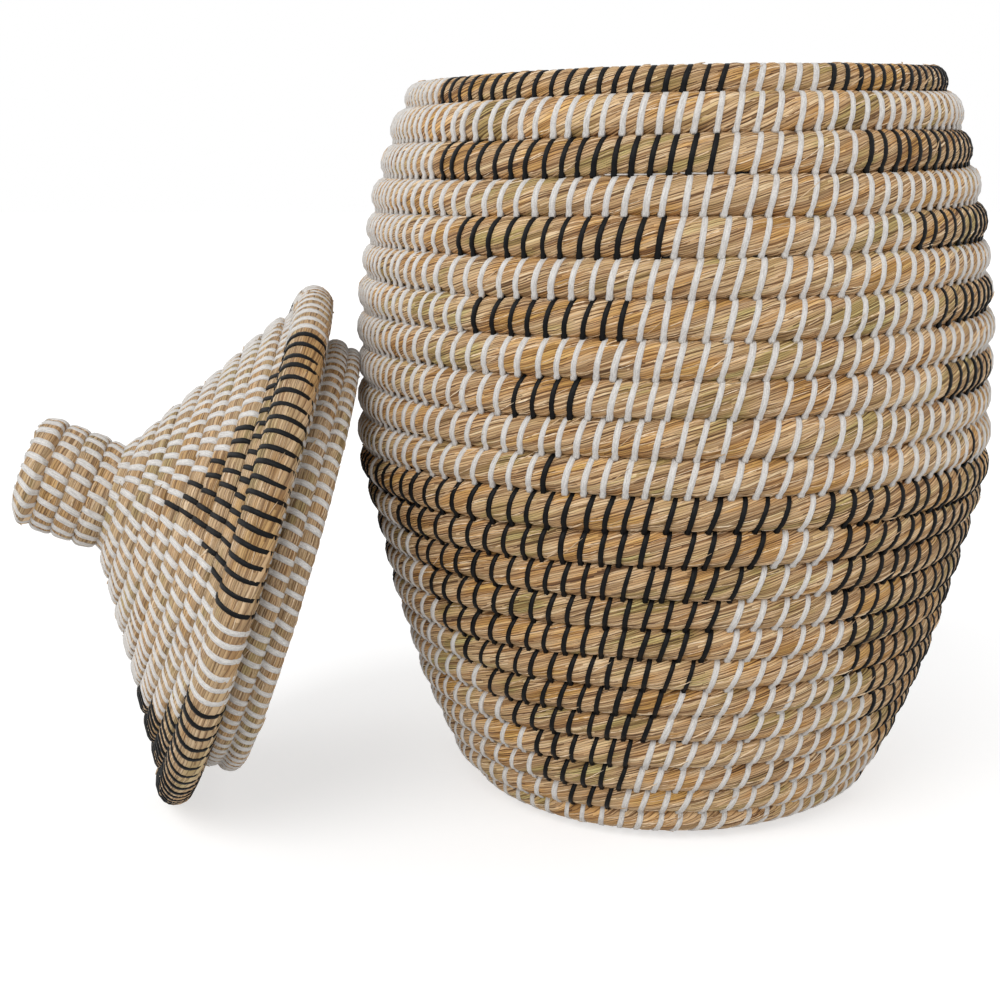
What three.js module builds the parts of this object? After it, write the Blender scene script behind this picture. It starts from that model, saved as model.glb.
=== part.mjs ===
// A lidded laundry basket, coiled from bundles of grass. The lid is off and leans on the basket.
// Units are millimetres and +Z is up. The origin is where the basket's axis meets the floor, the
// front is -Y and the lid leans on the -X side. Each coil is one unbroken tube that winds turn on
// turn along a profile: from the middle of the base to the rim, and from the knob's top to the brim.

import * as THREE from "three";

// Basket: radii and heights of the centre line of its coil
const baseRadius = 116.9; // where the flat base turns up into the wall
const bellyRadius = 182.2;
const bellyHeight = 264;
const mouthRadius = 149;
const bodyHeight = 439.5; // top of the rim
const heelAngle = 51.6; // degrees above the floor at which the wall leaves the base
const heelReach = 45.7; // how far the wall keeps that slope
const bellyReachDown = 86.6; // how far the belly stays upright, downwards
const bellyReachUp = 74; // and upwards
const mouthReach = 50; // how far the mouth keeps its slope
const mouthLean = 21.7; // degrees by which the wall leans inwards at the mouth
const baseCoil = 18.2; // width of one turn in the base
const wallTurns = 22.5; // turns in the wall, which thicken evenly so that they fill it

// Lid, in its own frame: its axis is Z, and its open side is down, at Z = 0
const lidClearance = 3.2; // between the lid's seat and the mouth, all round
const brimRadius = 152.6; // centre line of the brim's coil
const brimHeight = 34.3;
const brimCoil = 20.5;
const neckRadius = 24.6;
const neckRise = 80; // from the brim's centre to the neck
const neckLength = 11.2; // from the neck to the knob's lowest turn
const neckPinch = 1; // how far the neck is drawn in towards the knob
const neckTurns = 2; // turns over which the coil thickens below the knob
const knobRadius = 27.2;
const knobLength = 39.5; // from the knob's lowest turn to its highest
const knobCoil = 13.2;
const knobLean = 8; // how far the handmade knob stands off the lid's axis at its top
const coneTurns = 9.2; // turns from the knob down to the brim
const coneSag = 3; // how far the cone dips below a straight slope
const sagPlace = 0.4; // where it dips most, as a share of the way from the neck to the brim
const seatCoil = 12;

// How the lid leans
const lidTilt = 17.7; // degrees between the lid's axis and the floor
const lidTurn = 6; // degrees by which the knob is turned to the front

// The coil and its gaps
const coilRoundness = 0.96; // a turn's thickness through the wall, over its width
const cutShare = 0.25; // thickness of a coil's cut start and end, over its full thickness
const turnGap = 0.6; // between neighbouring turns
const jointGap = 0.35; // between two lengths of coil that meet end to end
const restGap = 0.3; // between the lid and what it stands and leans on
const pressedFlat = 0.5; // depth by which the base is flattened where it stands
const stepsPerSmallTurn = 9;
const stepsPerTurn = 2 * stepsPerSmallTurn;
const smallRadius = 75; // turns smaller than this have the fewer steps
const lapSteps = 2; // length of the slanting lap where the brim's two ends meet

const step = 360 / stepsPerTurn;
const radians = THREE.MathUtils.degToRad;
const clamp = THREE.MathUtils.clamp;
const lerp = THREE.MathUtils.lerp;

// A point of the half plane of radius and height
const at = (radius, height) => new THREE.Vector2(radius, height);

// A winding lays turns along a profile. seam(turn) is how far along the profile the coil's inner
// side lies after that many turns, so a turn fills the length from seam(turn) to seam(turn + 1).
// The coil keeps its first thickness for evenTurns, thickens over growTurns, and then keeps that.
// Both of its ends are thin, so that it starts and ends level.
function winding({ profile, start, coil, evenTurns, growTurns, turns, side, endAngle, shape }) {
  const length = profile.getLength();
  const grown = (turn) => {
    const past = Math.max(turn - evenTurns, 0);
    return past < growTurns ? (past * past) / (2 * growTurns) : past - growTurns / 2;
  };
  const end = turns + cutShare;
  const evenLength = start + coil * (end - 1 + cutShare);
  const growth = (length - evenLength) / (coil * grown(end));
  const seam = (turn) => {
    if (turn < 1 - 0.5 / stepsPerTurn) return start;
    return Math.min(start + coil * (turn - 1 + cutShare + growth * grown(turn)), length);
  };
  const point = (distance) => profile.getPoint(clamp(distance / length, 0, 1));
  const startAngle = step * Math.round(endAngle / step - turns * stepsPerTurn);
  return { seam, point, coil, growth, turns, side, startAngle, shape };
}

// The direction in which a winding's profile passes a seam, from half a coil before to half after
function passing(wound, distance) {
  const before = wound.point(distance - wound.coil / 2);
  return wound.point(distance + wound.coil / 2).sub(before).normalize();
}

// The six corners of a turn that fills the profile from one length to another. A corner points at
// each neighbouring turn, and flats face outwards and inwards. At both of its seams the turn stays
// back from the line across the profile, so neighbours are turnGap apart however sharply it bends.
function section(wound, from, to) {
  const first = wound.point(from);
  const last = wound.point(to);
  const middle = wound.point((from + to) / 2);
  const along = last.clone().sub(first).normalize();
  const out = at(along.y, -along.x).multiplyScalar(wound.side);
  const half = (to - from - turnGap) / 2;
  const flat = (a, n) => middle.clone().addScaledVector(along, a).addScaledVector(out, n);
  const corners = [
    last.clone(),
    flat(half / 2, half * coilRoundness),
    flat(-half / 2, half * coilRoundness),
    first.clone(),
    flat(-half / 2, -half * coilRoundness),
    flat(half / 2, -half * coilRoundness),
  ];
  const firstWay = passing(wound, from);
  const lastWay = passing(wound, to);
  for (const corner of corners) {
    const short = turnGap / 2 - corner.clone().sub(first).dot(firstWay);
    corner.addScaledVector(firstWay, Math.max(short, 0));
    const past = turnGap / 2 + corner.clone().sub(last).dot(lastWay);
    corner.addScaledVector(lastWay, -Math.max(past, 0));
  }
  return corners;
}

// One closed tube through sections, each with its angle round the axis in degrees
function tube(rings, wound) {
  const sides = rings[0].corners.length;
  const positions = rings.flatMap(({ angle, corners }) =>
    corners.flatMap(({ x, y }) =>
      wound.shape(x * Math.cos(radians(angle)), x * Math.sin(radians(angle)), y),
    ),
  );
  const triangles = [];
  const face = (a, b, c) => triangles.push(...(wound.side > 0 ? [a, c, b] : [a, b, c]));
  for (let ring = 0; ring + 1 < rings.length; ring++)
    for (let i = 0; i < sides; i++) {
      const a = ring * sides + i;
      const b = ring * sides + ((i + 1) % sides);
      face(a, a + sides, b);
      face(b, a + sides, b + sides);
    }
  const last = (rings.length - 1) * sides;
  for (let i = 1; i + 1 < sides; i++) {
    face(0, i, i + 1);
    face(last, last + i + 1, last + i);
  }
  const geometry = new THREE.BufferGeometry();
  geometry.setAttribute("position", new THREE.Float32BufferAttribute(positions, 3));
  geometry.setIndex(triangles);
  geometry.computeVertexNormals();
  return geometry;
}

// The section of a winding at one turn, and the angle at which it stands
function ringAt(wound, turn, shift = 0) {
  return {
    angle: wound.startAngle + 360 * (turn + shift),
    corners: section(wound, wound.seam(turn), wound.seam(turn + 1)),
  };
}

// A length of coil between two turns, drawn back at its start from the length before it
function coilLength(wound, from, to) {
  const radius = wound.point(wound.seam(from + 1)).x;
  const rings = [ringAt(wound, from, jointGap / (2 * Math.PI * radius))];
  let count = Math.round(from * stepsPerTurn);
  for (;;) {
    const small = wound.point(wound.seam(count / stepsPerTurn)).x < smallRadius;
    count += small && count % 2 === 0 ? 2 : 1;
    if (count > to * stepsPerTurn - 0.3) break;
    rings.push(ringAt(wound, count / stepsPerTurn));
  }
  rings.push(ringAt(wound, to));
  return tube(rings, wound);
}

// The rolled start of a coil: a small button with softened edges that the first turn winds round
function coilStart(wound, low, high) {
  const edge = wound.coil / 8;
  const radius = wound.seam(0) - turnGap - edge;
  const corners = [];
  for (let i = 0; i < stepsPerSmallTurn; i++) {
    const angle = radians(wound.startAngle + (360 * i) / stepsPerSmallTurn);
    corners.push(at(radius * Math.cos(angle), radius * Math.sin(angle)));
  }
  const geometry = new THREE.ExtrudeGeometry(new THREE.Shape(corners), {
    depth: high - low - 2 * edge,
    bevelSize: edge,
    bevelThickness: edge,
    bevelSegments: 1,
  });
  return geometry.translate(0, 0, low + edge);
}

// A hoop of one turn whose two ends lap each other on a slant
function lappedHoop(wound, from, to, lapAngle) {
  const thin = cutShare * (to - from);
  const slant = (count) => lerp(to - thin, from + thin, count / lapSteps);
  const rings = [];
  for (let count = 0; count <= stepsPerTurn + lapSteps; count++) {
    const inner = count <= lapSteps ? slant(count) : from;
    const outer = count < stepsPerTurn ? to : slant(count - stepsPerTurn);
    rings.push({ angle: lapAngle + step * count, corners: section(wound, inner, outer) });
  }
  return tube(rings, wound);
}

function distanceToEdge(point, a, b) {
  const edge = b.clone().sub(a);
  const share = clamp(point.clone().sub(a).dot(edge) / edge.lengthSq(), 0, 1);
  return edge.multiplyScalar(share).add(a).distanceTo(point);
}

// Least distance from the corners of any turn to the sides of the next, and the other way round
function leastGap(wound) {
  let least = Infinity;
  for (let count = 0; count < (wound.turns - 1) * stepsPerTurn; count++) {
    const inner = ringAt(wound, count / stepsPerTurn).corners;
    const outer = ringAt(wound, count / stepsPerTurn + 1).corners;
    for (let i = 0; i < inner.length; i++)
      for (let j = 0; j < outer.length; j++) {
        const next = (j + 1) % outer.length;
        const before = (i + inner.length - 1) % inner.length;
        const there = distanceToEdge(inner[i], outer[j], outer[next]);
        const back = distanceToEdge(outer[j], inner[i], inner[before]);
        least = Math.min(least, there, back);
      }
  }
  return least;
}

// The edges of a winding's sections that lie at one angle, with each corner passed through a map
function edgesAt(wound, angle, map) {
  const edges = [];
  const first = THREE.MathUtils.euclideanModulo(angle - wound.startAngle, 360) / 360;
  for (let turn = first; turn < wound.turns; turn++) {
    const corners = ringAt(wound, turn).corners.map(map);
    corners.forEach((corner, i) => edges.push([corner, corners[(i + 1) % corners.length]]));
  }
  return edges;
}

// Where edges cross one height
function crossings(edges, height) {
  return edges
    .filter(([a, b]) => (a.y - height) * (b.y - height) < 0)
    .map(([a, b]) => lerp(a.x, b.x, (height - a.y) / (b.y - a.y)));
}

// Colours of the grass and of the bindings over it, as they mix by eye
const grass = (color) => new THREE.MeshStandardMaterial({ color, roughness: 0.85, metalness: 0 });
const paleGrass = grass(0xc9b99b);
const brownGrass = grass(0xa98d62);
const darkGrass = grass(0x7d6a4e);

function mesh(name, geometry, material) {
  const made = new THREE.Mesh(geometry, material);
  made.name = name;
  return made;
}

// The basket's coil

const baseHeight = ((baseCoil - turnGap) * coilRoundness) / 2 - pressedFlat;
const baseTurns = baseRadius / baseCoil - cutShare;
const leanAngle = 180 + lidTurn;
const backAngle = 90;

function basketProfile() {
  const heel = radians(heelAngle);
  const lean = radians(mouthLean);
  return new THREE.Path()
    .moveTo(0, baseHeight)
    .lineTo(baseRadius, baseHeight)
    .bezierCurveTo(
      baseRadius + heelReach * Math.cos(heel),
      baseHeight + heelReach * Math.sin(heel),
      bellyRadius,
      bellyHeight - bellyReachDown,
      bellyRadius,
      bellyHeight,
    )
    .bezierCurveTo(
      bellyRadius,
      bellyHeight + bellyReachUp,
      mouthRadius + mouthReach * Math.sin(lean),
      bodyHeight - mouthReach * Math.cos(lean),
      mouthRadius,
      bodyHeight,
    );
}

// Nothing reaches below the floor, and the coil is turned so that one of its steps faces the lid
function onFloor(x, y, height) {
  const turned = at(x, y).rotateAround(at(0, 0), radians(leanAngle));
  return [turned.x, turned.y, Math.max(height, 0)];
}

const basketCoil = winding({
  profile: basketProfile(),
  start: baseCoil / 2,
  coil: baseCoil,
  evenTurns: baseTurns,
  growTurns: wallTurns,
  turns: baseTurns + wallTurns,
  side: 1,
  endAngle: backAngle - leanAngle,
  shape: onFloor,
});
const rimCoil = baseCoil * (1 + basketCoil.growth);

// The coil is one bundle after another, and the wall's bundles are about equally long
const wallParts = ["heel", "lower_wall", "waist", "lower_belly", "belly", "shoulder", "neck"];
const wallNames = wallParts.map((part) => part + "_coil");
const wallColours = [darkGrass, darkGrass, darkGrass, darkGrass, paleGrass, paleGrass, paleGrass];
const wallStart = Math.floor(baseTurns);
const wallEnd = Math.floor(basketCoil.turns) - 1;
const wallTurn = (i) => Math.round(lerp(wallStart, wallEnd, i / wallNames.length));

const basket = new THREE.Group();
const button = coilStart(basketCoil, 0, baseHeight + ((baseCoil - turnGap) * coilRoundness) / 2);
basket.add(mesh("base_start", button.rotateZ(radians(leanAngle)), brownGrass));
basket.add(mesh("base_coil", coilLength(basketCoil, 0, wallStart), brownGrass));
wallNames.forEach((name, i) => {
  basket.add(mesh(name, coilLength(basketCoil, wallTurn(i), wallTurn(i + 1)), wallColours[i]));
});
basket.add(mesh("rim_coil", coilLength(basketCoil, wallEnd, basketCoil.turns), brownGrass));

// The lid's coil

const brimCentre = at(brimRadius, brimHeight);
const neck = at(neckRadius, brimHeight + neckRise);
const knobFoot = at(knobRadius, neck.y + neckLength);
const knobTop = at(knobRadius, knobFoot.y + knobLength);
const coneWay = brimCentre.clone().sub(neck).normalize();
const coneEnd = brimCentre.clone().addScaledVector(coneWay, -brimCoil / 2);
const knobTurns = (knobRadius + knobLength) / knobCoil + 1 / 2 - cutShare;
const hiddenAngle = 140; // the back of the lid, low down, where its last turns run out

function knobAndConeProfile() {
  const bend = neck.clone().lerp(coneEnd, sagPlace);
  return new THREE.Path()
    .moveTo(0, knobTop.y)
    .lineTo(knobTop.x, knobTop.y)
    .lineTo(knobFoot.x, knobFoot.y)
    .quadraticCurveTo(neck.x - neckPinch, (neck.y + knobFoot.y) / 2, neck.x, neck.y)
    .quadraticCurveTo(bend.x, bend.y - coneSag, coneEnd.x, coneEnd.y);
}

// The knob leans to the lid's upper side
function leaning(x, y, height) {
  const share = Math.max((height - brimHeight) / (knobTop.y - brimHeight), 0);
  return [x + knobLean * share, y, height];
}

const lidCoil = winding({
  profile: knobAndConeProfile(),
  start: knobCoil / 2,
  coil: knobCoil,
  evenTurns: knobTurns,
  growTurns: neckTurns,
  turns: knobTurns + coneTurns,
  side: -1,
  endAngle: hiddenAngle,
  shape: leaning,
});

// The brim's hoop goes on along the cone's slope
const brimHoop = {
  point: (distance) => coneEnd.clone().addScaledVector(coneWay, distance),
  coil: brimCoil,
  side: -1,
  shape: leaning,
};

// The seat goes into the mouth. It winds down from the underside of the cone, which it clears.
const seatDeep = (seatCoil * coilRoundness) / 2;
const seatRadius = mouthRadius - (rimCoil * coilRoundness) / 2 - lidClearance - seatDeep;
let seatTop = Infinity;
for (let angle = 0; angle < 360; angle += step) {
  const underside = edgesAt(lidCoil, angle, ({ x, y }) => at(y, x));
  for (const share of [-1, -0.5, 0, 0.5, 1]) {
    const lowest = Math.min(...crossings(underside, seatRadius + share * seatDeep));
    const slack = (Math.abs(share) * seatCoil) / 4 + turnGap / 2;
    seatTop = Math.min(seatTop, lowest + slack - restGap);
  }
}
const seatTurns = seatTop / seatCoil + 1 - 2 * cutShare;
const seat = winding({
  profile: new THREE.Path().moveTo(seatRadius, seatTop).lineTo(seatRadius, 0),
  start: 0,
  coil: seatCoil,
  evenTurns: 0,
  growTurns: seatTurns,
  turns: seatTurns,
  side: -1,
  endAngle: hiddenAngle,
  shape: leaning,
});

const knobEnd = Math.round(knobTurns);
const coneMiddle = knobEnd + Math.round(coneTurns / 2);
const lapAngle = step * Math.round(backAngle / step);
const knobHigh = knobTop.y + ((knobCoil - turnGap) * coilRoundness) / 2;
const knobButton = coilStart(lidCoil, knobHigh - knobCoil * coilRoundness, knobHigh);
const lid = new THREE.Group();
lid.add(mesh("knob_start", knobButton.translate(knobLean, 0, 0), brownGrass));
lid.add(mesh("knob_coil", coilLength(lidCoil, 0, knobEnd), paleGrass));
lid.add(mesh("upper_cone_coil", coilLength(lidCoil, knobEnd, coneMiddle), paleGrass));
lid.add(mesh("lower_cone_coil", coilLength(lidCoil, coneMiddle, lidCoil.turns), brownGrass));
lid.add(mesh("brim_coil", lappedHoop(brimHoop, 0, brimCoil, lapAngle), darkGrass));
lid.add(mesh("seat_coil", coilLength(seat, 0, seatTurns), paleGrass));

// The lid stands on its brim and leans on the basket's belly. In the upright plane through both
// axes its outline is slid along the floor until it is restGap away from the basket's, and from
// what it passes of the basket when it is lifted straight up.

const tilt = radians(lidTilt);
const tilted = (radius, height) =>
  at(height * Math.cos(tilt) - radius * Math.sin(tilt), height * Math.sin(tilt) + radius * Math.cos(tilt));

function lowestOfLid() {
  let least = Infinity;
  for (const piece of lid.children) {
    const position = piece.geometry.getAttribute("position");
    for (let i = 0; i < position.count; i++)
      least = Math.min(least, tilted(position.getX(i), position.getZ(i)).y);
  }
  return least;
}

const lidHeight = restGap - lowestOfLid();
const seatEdges = edgesAt(seat, 0, ({ x, y }) => tilted(x, y).add(at(0, lidHeight)));
const basketEdges = edgesAt(basketCoil, 0, (corner) => corner);
const scanStep = 0.1;
let widest = 0;
let lidDistance = 0;
for (let height = bodyHeight; height > 0; height -= scanStep) {
  widest = Math.max(widest, ...crossings(basketEdges, height));
  lidDistance = Math.max(lidDistance, widest + restGap - Math.min(...crossings(seatEdges, height)));
}

const away = radians(leanAngle);
const outward = new THREE.Vector3(Math.cos(away), Math.sin(away), 0);
const upright = new THREE.Vector3(0, 0, 1);
const axis = outward.clone().multiplyScalar(Math.cos(tilt)).addScaledVector(upright, Math.sin(tilt));
const upward = outward.clone().multiplyScalar(-Math.sin(tilt)).addScaledVector(upright, Math.cos(tilt));
const turning = new THREE.Matrix4().makeBasis(upward, axis.clone().cross(upward), axis);
lid.quaternion.setFromRotationMatrix(turning);
lid.position.copy(outward).multiplyScalar(lidDistance).setZ(lidHeight);

for (const [name, wound] of Object.entries({ basketCoil, lidCoil, seat }))
  console.log(name + ": least gap between turns " + leastGap(wound).toFixed(2) + " mm");

const laundryBasket = new THREE.Group();
laundryBasket.add(basket, lid);

export default laundryBasket;
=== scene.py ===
# A laundry basket and its lid, coiled from grass and bound with white and black plastic strip.
# Sizes are in millimetres until a mesh is made, and only the floor and the camera are placed in
# metres. A place on a coil is given by its turn, counted from where the coil starts, and by how
# far it lies along and out of the coil's own section.

import math

import bpy
import numpy as np
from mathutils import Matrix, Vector


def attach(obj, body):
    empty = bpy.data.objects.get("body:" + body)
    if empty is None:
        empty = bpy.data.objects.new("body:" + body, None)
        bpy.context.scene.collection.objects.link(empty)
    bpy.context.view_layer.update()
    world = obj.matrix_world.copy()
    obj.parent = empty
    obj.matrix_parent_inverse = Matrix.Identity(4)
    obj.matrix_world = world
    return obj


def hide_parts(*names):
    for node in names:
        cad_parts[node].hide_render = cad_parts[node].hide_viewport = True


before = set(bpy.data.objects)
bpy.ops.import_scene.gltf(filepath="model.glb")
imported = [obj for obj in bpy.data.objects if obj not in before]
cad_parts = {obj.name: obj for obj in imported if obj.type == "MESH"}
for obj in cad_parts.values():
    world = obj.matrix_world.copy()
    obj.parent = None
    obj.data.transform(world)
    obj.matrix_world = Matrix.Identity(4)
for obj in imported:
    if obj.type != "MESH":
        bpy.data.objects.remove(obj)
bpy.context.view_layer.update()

MM = 0.001

# Basket: radii and heights of the centre line of its coil. A reach is how far the pull on a
# curve lies from the curve's end.
BASE_RADIUS = 116.9
BELLY_RADIUS = 182.2
BELLY_HEIGHT = 264
MOUTH_RADIUS = 149
BODY_HEIGHT = 439.5
HEEL_ANGLE = 51.6
HEEL_REACH = 45.7
BELLY_REACH_DOWN = 86.6
BELLY_REACH_UP = 74
MOUTH_REACH = 50
MOUTH_LEAN = 21.7
BASE_COIL = 18.2
WALL_TURNS = 22.5

# Lid, in its own frame: its axis is Z and its open side is down. The brim is pressed over the
# cone's edge by BRIM_PRESS.
LID_CLEARANCE = 3.2
BRIM_RADIUS = 152.6
BRIM_HEIGHT = 34.3
BRIM_COIL = 20.5
BRIM_PRESS = 1.2
BRIM_LAP_ANGLE = 80
NECK_RADIUS = 24.6
NECK_RISE = 80
NECK_LENGTH = 11.2
NECK_PINCH = 1
NECK_TURNS = 2
KNOB_RADIUS = 27.2
KNOB_LENGTH = 39.5
KNOB_COIL = 13.2
KNOB_LEAN = 8
CONE_TURNS = 9.2
CONE_SAG = 3
SAG_PLACE = 0.4
SEAT_COIL = 12
SEAT_TOP = 39.05
LID_TILT = 17.7
LID_TURN = 6
LID_DISTANCE = 231.16
LID_HEIGHT = 145
LID_END_ANGLE = 140

# The coil's section, and the steps of a turn on which a coil may start. A fullness of 2 is a
# round section, and more is squarer.
ROUNDNESS = 0.96
CUT_SHARE = 0.25
TURN_GAP = 0.6
PRESSED_FLAT = 0.5
FULLNESS = 2.25
CONE_FULLNESS = 3.6
TURN_STEPS = 18
LAP_SHARE = 2 / TURN_STEPS

# How finely a coil is made, how far the grain across it follows the angle and not the height,
# and the least half width that its swelling is measured against
RING_STEP = 2.1
LEAST_RINGS = 8
SIDES = 20
ACROSS_BY_ANGLE = 0.25
LEAST_HALF = 2

# The skin of grass: it swells in slow lumps, is pinched at each stitch and is full at the seams
PINCH = 0.65
PINCH_REACH = 0.24
SWELL = 0.15
LUMPS = 0.25
LUMP_LENGTH = 9
LUMPS_ROUND = 2
SEAM_FILL = 0.6

# The waves that make an uneven surface: how fast each runs across and up it, and its start
WAVES = 6
WAVES_ACROSS = (0.4, 1.6)
WAVES_UP = (-1.2, 1.2)
WAVE_STARTS = (0, 6.28)
WAVES_PEAK = 3

# Where the random draws start
LUMP_SEED = 3
BLADE_SEED = 5
STRIP_SEED = 11

# How the stitches are spread. They crowd and spread round the basket, and crowd at its left.
STITCH_SPACING = 11.35
LID_SPACING = 8.8
STACKED_STITCHES = 107.7
STACKED_FROM = 16
STACKED_OVER = 4
CROWDING = 0.09
CROWDINGS = 6
CROWDED_AT = 253
LEFT_CROWDING = 0.3
LEFT_CROWDED_AT = 205
LEFT_REACH = 22

# The strips: their section, their way round the coil in degrees from its outside, their lean,
# how much the hand varies them, and the least radius at which their width is made an angle
WHITE_WIDTH = 3.95
BLACK_WIDTH = 3.35
STRIP_THICKNESS = 0.8
STRIP_ACROSS = (-1, -0.62, 0.62, 1)
STRIP_LIFT = (-1, 0.8, 0.8, -1)
STRIP_LAP = 1.4
STRIP_BOW = 0.1
STRIP_GRAIN = 3.2
GRAIN_STARTS = (0, 400)
STRIP_ANGLES = (-52, -32, -10, 14, 38, 58, 76, 94, 118, 150, 185, 218)
STRIP_SEAM_ALONG = -0.98
STRIP_SEAM_OUT = (0.52, 0.62)
WALL_LEAN = 0.42
LID_LEAN = -0.34
WALL_STRIP_SHARE = 1
LID_STRIP_SHARE = 1.08
VARY_PLACE = 0.055
VARY_WIDTH = 0.05
VARY_LEAN = 0.14
LEAST_RADIUS = 4

# Grass: the slant of its strands, and blades that stand proud from one stitch to the next. A few
# stray blades slant more and rise at one end.
WALL_SLANT = 18
LID_SLANT = 4
BLADES_OUTSIDE = 5
BLADES_INSIDE = 2
BLADE_STEPS = (0, 0.3, 0.7, 1)
BLADE_ANGLES = (-74, 80)
BLADE_STARTS = (-0.1, 0.12)
BLADE_STOPS = (-0.12, 0.1)
BLADE_SPREAD = 4
BLADE_HALF_WIDTH = 0.5
BLADE_WIDTHS = (0.6, 1.5)
BLADE_LIFT = 0.3
BLADE_LIFTS = (0.5, 1.5)
BLADE_ROOT = 0.3
BLADE_SINK = 0.2
BLADE_CUT = 0.04
STRAY_SHARE = 0.035
STRAY_TURN = 18
STRAY_RISE = 1.6

# What the hand leaves uneven. Rows swell and thin, by waves of a rate, a start and a size.
ROW_WANDER = 0.55
WANDER_WAVES = ((14.3, 1, 1), (23.1, 0, 1), (37.7, 2, 0.7))
WANDER_PEAK = 1.6
# The mouth is lower at its sides, and the rows below it slope.
RIM_DROP = 3.5
DROP_FROM = 0.25
DROP_OVER = 0.6
ROW_SLOPE = 0.012
SLOPE_FULL = 100
# The heel curls off the floor.
HEEL_LIFT = 6
HEEL_FROM = 100
HEEL_RUN = 22
HEEL_TOP = 190
# A belt of rows stands out.
BELT_OUT = 4
BELT_HEIGHT = 205
BELT_REACH = 28
# The last row is thinner, runs past the mouth and tapers.
RIM_PAST = 15
RIM_THINNER = 6.7
RIM_TAPER = 0.15

# The black figures: their middles, in degrees from the basket's front or round the lid, and how
# far each reaches in row after row. Two figures of a kind are unlike, and two repeat them. A
# lean is how far a figure's middle moves from one row of the lid to the next.
UPPER_MIDDLES = (-25.7, 58.5, 148, -122)
UPPER_HALVES = (
    (32.9, 27.4, 20.5, 14.4, 7.8, 1.4),
    (32.7, 30.6, 18.6, 14.4, 10.9, 1.4),
)
LOWER_MIDDLES = (-26.7, 61.5, 149, -113.5)
LOWER_LEFT = (
    (42, 35.4, 32, 29.5, 26.9, 22.5, 18.4, 14.9, 12.1, 7.3, 2.6, 1.4),
    (40.6, 38.3, 36.9, 34.5, 31.6, 27.8, 23.4, 19.2, 13.8, 6.6, -2.3, -2.5),
)
LOWER_RIGHT = (
    (42.1, 39.3, 36.1, 33.9, 31.1, 28.1, 23.8, 20.4, 16.4, 12.2, 8.1, 1.4),
    (42.1, 39.3, 36.1, 33.9, 31.1, 28.1, 23.8, 20.4, 16.4, 12.2, 8.1, 7.5),
)
UPPER_ROWS = 11
LOWER_ROWS = (12, 23)
LID_MIDDLES = (300.8, 217.6, 135.5, 49)
LID_LEANS = (-2.6, -5.5, -3, -3)
LID_HALVES = (33.1, 26.5, 18.5, 12, 5.6, 1.8)

# Ends of strip left in the seams: the seam below which row, and from and to how many degrees
# from the front. Each lies again at the other figures.
WHITE_TAILS = ((3, -17.2, -4.8), (3, -4.2, 3.2), (11, -29.2, -27.8))
BLACK_TAILS = (
    (3, 4.7, 7.5),
    (5, -7, -5.6),
    (5, 7.8, 10.2),
    (11, -26.2, -25),
    (18, 1, 2.4),
    (19, -2.4, -1),
    (22, -20, -18),
)
TAIL_SHIFTS = (0, 88, 176, 264)
TAIL_STEPS = 8
TAIL_THICKNESS = 0.5
TAIL_OUT = (0.42, 0.52, 0.52, 0.42)
TAIL_OUTER_SIDE = (0, 0, 1, 1)
TAIL_CUT = 0.15
TAIL_WAVE = 5
# Each edge of a tail has its place along the section, and how far it waves.
TAIL_EDGES = ((-1.01, 0.01), (-0.97, 0.02))

# The rolled start of a coil: how far it reaches past the coil's inner side, and its bulge
ROLL_REACH = 3
ROLL_STEPS = 9
ROLL_CUT = 0.12
ROLL_BULGE = 0.4
ROLL_MIDDLE = 0.05

# Patterns on the finishes: about how many waves run in a millimetre, along and across. The
# strands fan out by FAN_REACH, and are shifted along by up to STRAND_SHIFT of their lengths.
FAN_SCALE = (0.012, 0.05)
FAN_REACH = 5
STRAND_SHIFT = 9
PATCH_SCALE = (0.016, 0.06)
# The painted shade and highlight of the strips' creases
CREASE_SHADE_SCALE = (0.25, 4.5)
MOTTLE_SCALE = (1.8, 2.4)
STRAND_HEIGHT = 0.5
FINE_HEIGHT = 0.25

# Light, and the floor in metres
SOFT_LIGHT = 0.62
FLOOR_HALF = 6.0
FLOOR_DROP = 0.0005
FLOOR_GREY = 0.5
FLOOR_GLOW = 0.3
FLOOR_SEEN_GLOW = 0.32
WHITE_LIGHT = (1, 1, 1, 1)


def smooth_step(share):
    """Rises from 0 to 1 as the share does, level at both ends: three squares less two cubes."""
    share = np.clip(share, 0, 1)
    return share**2 * (3 - 2 * share)


def half_wave(share, cut):
    """Half a wave of a sine as the share goes from 0 to 1, less a cut at each end."""
    return np.sin(math.pi * (cut + (1 - 2 * cut) * share))


def around_from(angle, middle):
    """Degrees from a middle to an angle, from -180 to 180."""
    return (angle - middle + 180) % 360 - 180


def join(*stretches):
    """Several stretches of a profile, end to end, without the doubled points."""
    kept = [stretches[0]] + [stretch[1:] for stretch in stretches[1:]]
    return np.concatenate(kept)


def straight(first, last, count=60):
    """Points on the straight line from first to last."""
    share = np.linspace(0, 1, count)[:, None]
    return (1 - share) * np.array(first) + share * np.array(last)


def bend(first, pull, last, count=120):
    """Points on a curve that leaves first towards pull and reaches last coming from pull."""
    share = np.linspace(0, 1, count)[:, None]
    before = (1 - share) * np.array(first) + share * np.array(pull)
    after = (1 - share) * np.array(pull) + share * np.array(last)
    return (1 - share) * before + share * after


def swell(first, pull, back, last, count=240):
    """Points on a curve from first to last that starts towards pull and ends coming from back."""
    share = np.linspace(0, 1, count)[:, None]
    return (1 - share) * bend(first, pull, back, count) + share * bend(pull, back, last, count)


def start_for(end_angle, turns):
    """The start angle, on a whole step of the turn, of a coil that ends near an angle."""
    step = 2 * math.pi / TURN_STEPS
    return step * round(end_angle / step - turns * TURN_STEPS)


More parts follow.
